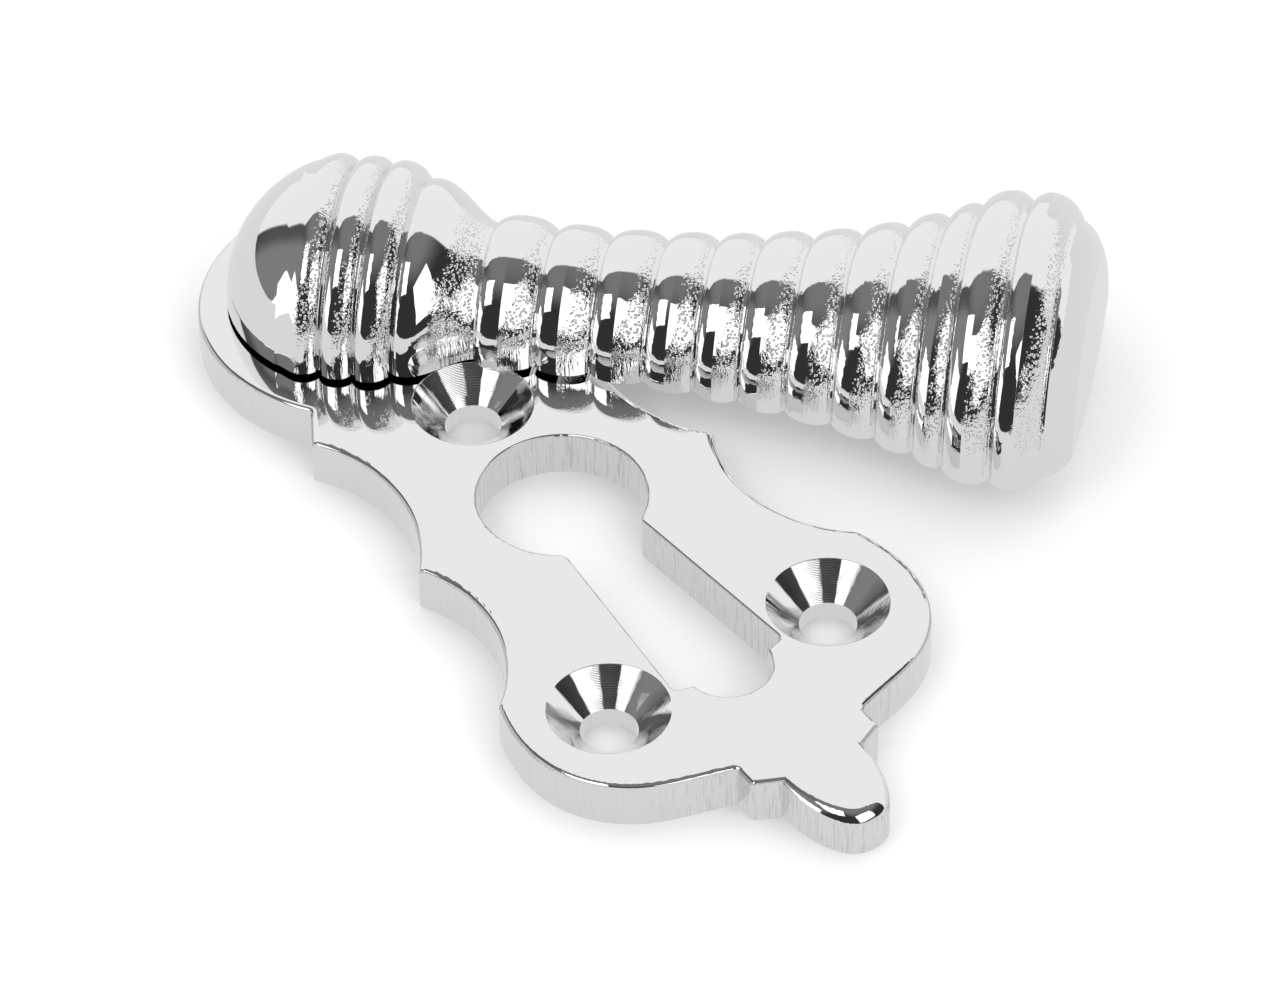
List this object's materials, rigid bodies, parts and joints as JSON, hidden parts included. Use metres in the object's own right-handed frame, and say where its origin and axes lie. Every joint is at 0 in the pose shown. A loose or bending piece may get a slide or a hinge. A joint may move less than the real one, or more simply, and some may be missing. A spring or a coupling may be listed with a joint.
{
  "type": "covered keyhole escutcheon",
  "caption": "Keyhole escutcheon plate with a shaped outline and countersunk screw holes, and a ringed half-round cover that swings over the keyhole on a rivet.",
  "frame": {"origin": "centre of the keyhole's round on the plate's back face", "axes": "+Z out of the plate's face, +Y up the plate from the keyhole to the cover's pivot, +X to the side to which the cover is swung"},
  "size_m": [0.0516, 0.0648, 0.0143],
  "materials": {
    "plate_chrome": "mirror-polished face with softly worked side walls",
    "cover_chrome": "polished ring crests with bright cast grain in the grooves",
    "rivet_chrome": "plated, plain turned"
  },
  "bodies": {
    "plate": {"escutcheon_plate": "plate_chrome"},
    "cover": {"swing_cover": "cover_chrome", "pivot_rivet": "rivet_chrome"}
  },
  "joints": [
    {"name": "cover_swing", "type": "hinge", "parent": "plate", "child": "cover", "pos_m": [0, 0.022, 0.003], "axis": [0, 0, 1], "continuous": true}
  ]
}
